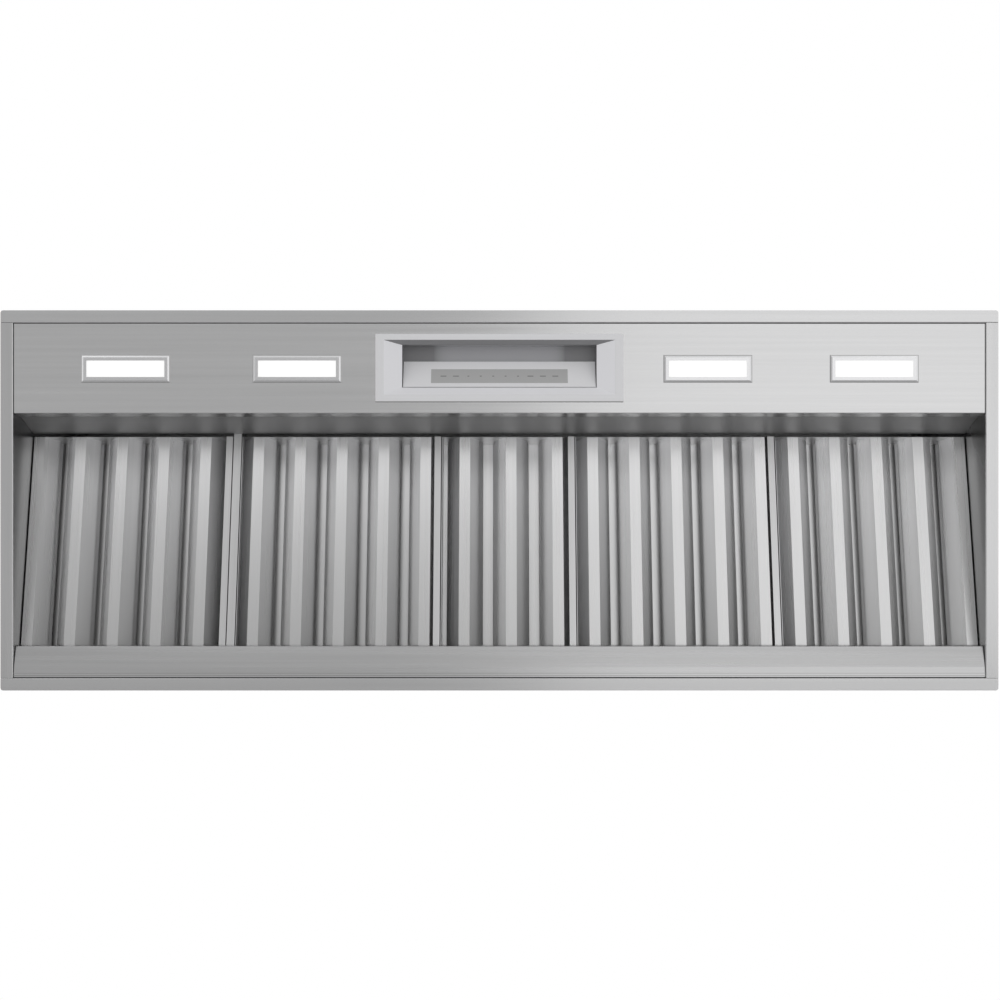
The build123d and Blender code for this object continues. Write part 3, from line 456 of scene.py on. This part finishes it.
def lamp_bezel(number):
    finish = plain_metal(f"satin bezel of lamp {number}", (0.80, 0.80, 0.81), 0.27, 1200.0)
    low, high = (Vector(corner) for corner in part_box(f"lamp_{number}_bezel"))
    middle, half = (low + high) / 2, (high - low) / 2
    x, y, _ = finish.axes()
    # The bezel's outer edge is painted grey: painted shade where it meets the fascia.
    rim = ((abs(x - middle.x) > half.x - bezel_shadow_width)
           + (abs(y - middle.y) > half.y - bezel_shadow_width)).clamp()
    return finish.set(Base_Color=finish.blend(rim, finish.colour(), grey(0.40)))


def glowing_lens(number):
    finish = Finish(f"lamp {number} lens")
    low, high = (Vector(corner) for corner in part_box(f"lamp_{number}_lens"))
    middle = (low + high) / 2
    x, y, _ = finish.axes()
    across = abs(x - middle.x) / ((high.x - low.x) / 2)
    along = abs(y - middle.y) / ((high.y - low.y) / 2)
    edge = across ** 10.0 + along ** 6.0
    glow = (1.0 - 0.25 * edge).clamp(0.6, 1.0)
    finish.set(
        Base_Color=grey(0.5),
        Roughness=0.5,
        Emission_Color=finish.blend(glow, grey(0.5), (1.0, 1.0, 0.99, 1.0)),
        Emission_Strength=0.72)
    return finish


for number in range(1, 5):
    dress(lamp_bezel(number), f"lamp_{number}_bezel")
    dress(glowing_lens(number), f"lamp_{number}_lens")
print("four lamps are on")

# %% [markdown]
# ## Screws on the hidden side
#
# The duct adapter is held on the top panel by hexagonal sheet screws with a washer formed
# under the head, and the lid of the wiring box by four small domed ones. A head is a cone with
# its upper rim bevelled. A short function adds one to a mesh wherever it is needed, turned so
# that it stands on its surface, so all the heads of one kind are one object.

# %% Screw heads
def add_head(builder, place, facing, radius, height, sides, bevel):
    """Adds a closed screw head that stands on `place` and looks along `facing`."""
    turn = Vector(facing).to_track_quat("Z", "Y").to_matrix().to_4x4()
    middle = Vector(place) + Vector(facing) * (height / 2 - 0.0002)
    made = bmesh.ops.create_cone(
        builder, cap_ends=True, segments=sides, radius1=radius, radius2=radius * 0.94,
        depth=height, matrix=Matrix.Translation(middle) @ turn)
    top = middle + Vector(facing) * height / 2
    edges = dict.fromkeys(edge for vert in made["verts"] for edge in vert.link_edges)
    rim = [edge for edge in edges
           if all(abs((v.co - top).dot(Vector(facing))) < 1e-6 for v in edge.verts)]
    bmesh.ops.bevel(builder, geom=rim, offset=bevel, offset_type="OFFSET",
                    affect="EDGES", segments=2, profile=0.5, material=-1)


def add_piece(builder, name, finish, body="housing"):
    """Turns a bmesh into an object that rides on a body and has a finish."""
    mesh = bpy.data.meshes.new(name)
    builder.to_mesh(mesh)
    builder.free()
    mesh.materials.append(finish.material)
    piece = bpy.data.objects.new(name, mesh)
    bpy.context.scene.collection.objects.link(piece)
    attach(piece, body)
    print(name, "has", len(mesh.polygons), "faces")
    return piece


# %% Screws of the duct adapter
washer_radius, washer_height = 0.0056, 0.0010
hexagon_radius, hexagon_height = 0.0038, 0.0030


def add_washer_screw(builder, place):
    """Adds a hexagonal head, looking up, with the washer that is formed under it."""
    upwards = Vector((0, 0, 1))
    add_head(builder, place, upwards, washer_radius, washer_height, 16, 0.0003)
    add_head(builder, place + upwards * 0.0008, upwards, hexagon_radius, hexagon_height, 6,
             0.0004)


adapter_low, adapter_high = (Vector(corner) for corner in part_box("duct_adapter"))
flange_top, screw_inset = adapter_low.z + 0.0012, 0.009
flange_ys = [vert.co.y for vert in nodes["duct_adapter"].data.vertices
             if vert.co.z < flange_top + 0.0004]
print("the adapter's flange reaches from", round(min(flange_ys), 4), "to",
      round(max(flange_ys), 4))
row_xs = (-0.155, -0.052, 0.052, 0.155)
end_x, middle_y = adapter_high.x - screw_inset, (min(flange_ys) + max(flange_ys)) / 2
rows = bmesh.new()
for side, row_y in ((-1, min(flange_ys) + screw_inset), (1, max(flange_ys) - screw_inset)):
    for x_place in row_xs:
        add_washer_screw(rows, Vector((x_place, row_y, flange_top)))
    add_washer_screw(rows, Vector((side * end_x, middle_y, flange_top)))
add_piece(rows, "adapter_screws", plated_steel)

# %% Screws of the wiring box's lid
lid_low, lid_high = (Vector(corner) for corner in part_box("junction_cover"))
corner_inset = 0.022
lid_screws = bmesh.new()
for side, wall_y in ((-1, lid_low.y), (1, lid_high.y)):
    for x_place in (lid_low.x + corner_inset, lid_high.x - corner_inset):
        add_head(lid_screws, (x_place, wall_y, (lid_low.z + lid_high.z) / 2), (0, side, 0),
                 0.0036, 0.0021, 16, 0.0011)
add_piece(lid_screws, "lid_screws", plated_steel)

# %% [markdown]
# ## The collar's bead
#
# A round duct is pushed over the collar until it meets a bead that is rolled into the sheet.
# The bead is a ring with a half-round section, so a small closed arc is spun once round
# the collar's axis, and the last ring of points is merged with the first.

# %% Rolled bead
collar_radius, bead_height, bead_radius = 0.1270, adapter_high.z - 0.0385, 0.0014
arc_steps, turn_steps = 6, 48
section = bmesh.new()
arc = []
for step in range(arc_steps + 1):
    angle = math.radians(-90 + 180 * step / arc_steps)
    arc.append(section.verts.new((
        collar_radius - 0.0003 + bead_radius * math.cos(angle), 0.0,
        bead_height + bead_radius * math.sin(angle))))
profile = [section.edges.new(pair) for pair in zip(arc, arc[1:] + arc[:1])]
bmesh.ops.spin(section, geom=arc + profile, cent=(0, 0, 0), axis=(0, 0, 1),
               angle=math.tau, steps=turn_steps, use_merge=True)
bmesh.ops.recalc_face_normals(section, faces=section.faces[:])
add_piece(section, "collar_bead", zinc_sheet)

# %% [markdown]
# ## Floor
#
# The part hangs above the camera, so the floor is below both. It lights the steel as a pale
# grey floor would. Only to the camera it is mixed with white light, so that it is close to the
# background where both are in the picture.

# %% Floor
floor_z = -2.46
floor_half_width = 40.0
floor_mesh = bpy.data.meshes.new("floor")
builder = bmesh.new()
bmesh.ops.create_grid(builder, x_segments=1, y_segments=1, size=floor_half_width,
                      matrix=Matrix.Translation((0, 0, floor_z)))
builder.to_mesh(floor_mesh)
builder.free()
floor = bpy.data.objects.new("floor", floor_mesh)
bpy.context.scene.collection.objects.link(floor)
floor_paint = Finish("pale floor")
floor_paint.set(Base_Color=grey(0.75), Roughness=0.85)
camera_sees = floor_paint.node("ShaderNodeLightPath", {}, {}, output="Is Camera Ray")
paler = floor_paint.tree.nodes.new("ShaderNodeEmission")
mixed = floor_paint.tree.nodes.new("ShaderNodeMixShader")
floor_paint.connect(mixed.inputs["Fac"], 0.6 * camera_sees)
floor_paint.tree.links.new(floor_paint.shader.outputs["BSDF"], mixed.inputs[1])
floor_paint.tree.links.new(paler.outputs["Emission"], mixed.inputs[2])
floor_paint.tree.links.new(mixed.outputs["Shader"], floor_paint.output.inputs["Surface"])
floor_mesh.materials.append(floor_paint.material)
print("floor at", floor_z, "m")

# %% [markdown]
# ## World
#
# The background is white to the camera and in reflections, and softer where it only lights
# the part. The kind of ray chooses between the two strengths.

# %% World
world_light, world_shown = 0.56, 1.0
world = bpy.data.worlds.new("studio")
world.use_nodes = True
bpy.context.scene.world = world
sky = world.node_tree.nodes
sky.clear()
join = world.node_tree.links.new


def backdrop(strength):
    """A white background of a given strength."""
    shade = sky.new("ShaderNodeBackground")
    shade.inputs["Color"].default_value = grey(1.0)
    shade.inputs["Strength"].default_value = strength
    return shade.outputs[0]


def either(first, second):
    """One where at least one of two outputs is one."""
    larger = sky.new("ShaderNodeMath")
    larger.operation = "MAXIMUM"
    join(first, larger.inputs[0])
    join(second, larger.inputs[1])
    return larger.outputs[0]


kind = sky.new("ShaderNodeLightPath").outputs
shown = either(either(kind["Is Camera Ray"], kind["Is Glossy Ray"]), kind["Is Transmission Ray"])
choose = sky.new("ShaderNodeMixShader")
join(shown, choose.inputs["Fac"])
join(backdrop(world_light), choose.inputs[1])
join(backdrop(world_shown), choose.inputs[2])
join(choose.outputs[0], sky.new("ShaderNodeOutputWorld").inputs["Surface"])
print("world lights at", world_light, "and shows at", world_shown)

# %% [markdown]
# ## Lights
#
# Two wide soft boxes lie under the steel: it mirrors them, the right one brighter, so the
# sheet goes from mid grey on the left to a pale grey on the right. The filters are tilted
# towards the front, so they mirror the floor further to the front, and have a soft box of
# their own there. The slanted sides of the baffles mirror each other, and through that what
# lies further out, so one more box at each side of the floor gives them their light. Half way
# up, a light at each side grazes the recess, and a weak one above reaches the hidden side.

# %% Soft boxes
def soft_box(name, place, target, width, depth, radiance):
    """A rectangular lamp of an even radiance, turned towards its target."""
    light = bpy.data.lights.new(name, "AREA")
    light.shape = "RECTANGLE"
    light.size = width
    light.size_y = depth
    light.energy = radiance * math.pi * width * depth
    holder = bpy.data.objects.new(name, light)
    aim = Vector(target) - Vector(place)
    holder.rotation_euler = aim.to_track_quat("-Z", "Y").to_euler()
    holder.location = place
    holder.visible_camera = False
    bpy.context.scene.collection.objects.link(holder)
    print(name, "gives", round(light.energy, 1), "W")


soft_box("right soft box", (1.50, -0.20, -2.40), (1.50, -0.20, 0.0), 2.8, 1.6, 0.66)
soft_box("left soft box", (-1.40, -0.20, -2.41), (-1.40, -0.20, 0.0), 3.0, 1.6, 0.12)
soft_box("filter soft box", (0.0, -2.10, -2.35), (0.0, -2.10, 0.0), 2.7, 1.8, 0.50)
for side, name in ((-1, "left"), (1, "right")):
    soft_box(f"{name} grazing light", (side * 2.5, 0.20, -1.15), (-side * 0.5, 0.0, 0.1),
             2.0, 1.2, 0.6)
    soft_box(f"{name} floor box", (side * 1.75, -2.8, -2.3), (side * 1.75, -2.8, 0.0),
             0.8, 2.2, 0.95)
soft_box("top soft box", (0.8, -1.5, 2.6), (0.0, 0.0, 0.3), 2.4, 2.4, 0.1)

# %% [markdown]
# ## Camera
#
# The picture is taken from straight below, 2.3 m under the flange. One pixel of the
# 1000 pixel frame is 1.486 mm at the flange, which sets the focal length. The front of the
# hood, with the lamps, is at the top of the picture. The hood is less than a thousandth of the
# frame off its middle, so the lens is shifted by as much.

# %% Camera
camera_distance = 2.3
metres_per_pixel = 0.001486
frame_pixels = 1000
shift_right, shift_up = 0.0006, 0.0004
lens_data = bpy.data.cameras.new("camera")
lens_data.sensor_width = 36.0
lens_data.lens = camera_distance / metres_per_pixel / frame_pixels * lens_data.sensor_width
lens_data.clip_start = 0.05
lens_data.shift_x = shift_right
lens_data.shift_y = shift_up
camera = bpy.data.objects.new("camera", lens_data)
right, up, back = Vector((1, 0, 0)), Vector((0, -1, 0)), Vector((0, 0, -1))
camera.matrix_world = Matrix((
    (right.x, up.x, back.x, 0.0),
    (right.y, up.y, back.y, 0.0),
    (right.z, up.z, back.z, -camera_distance),
    (0.0, 0.0, 0.0, 1.0)))
bpy.context.scene.collection.objects.link(camera)
bpy.context.scene.camera = camera
bpy.context.scene.view_settings.view_transform = "Standard"
print("focal length", round(lens_data.lens, 2), "mm")

# %% [markdown]
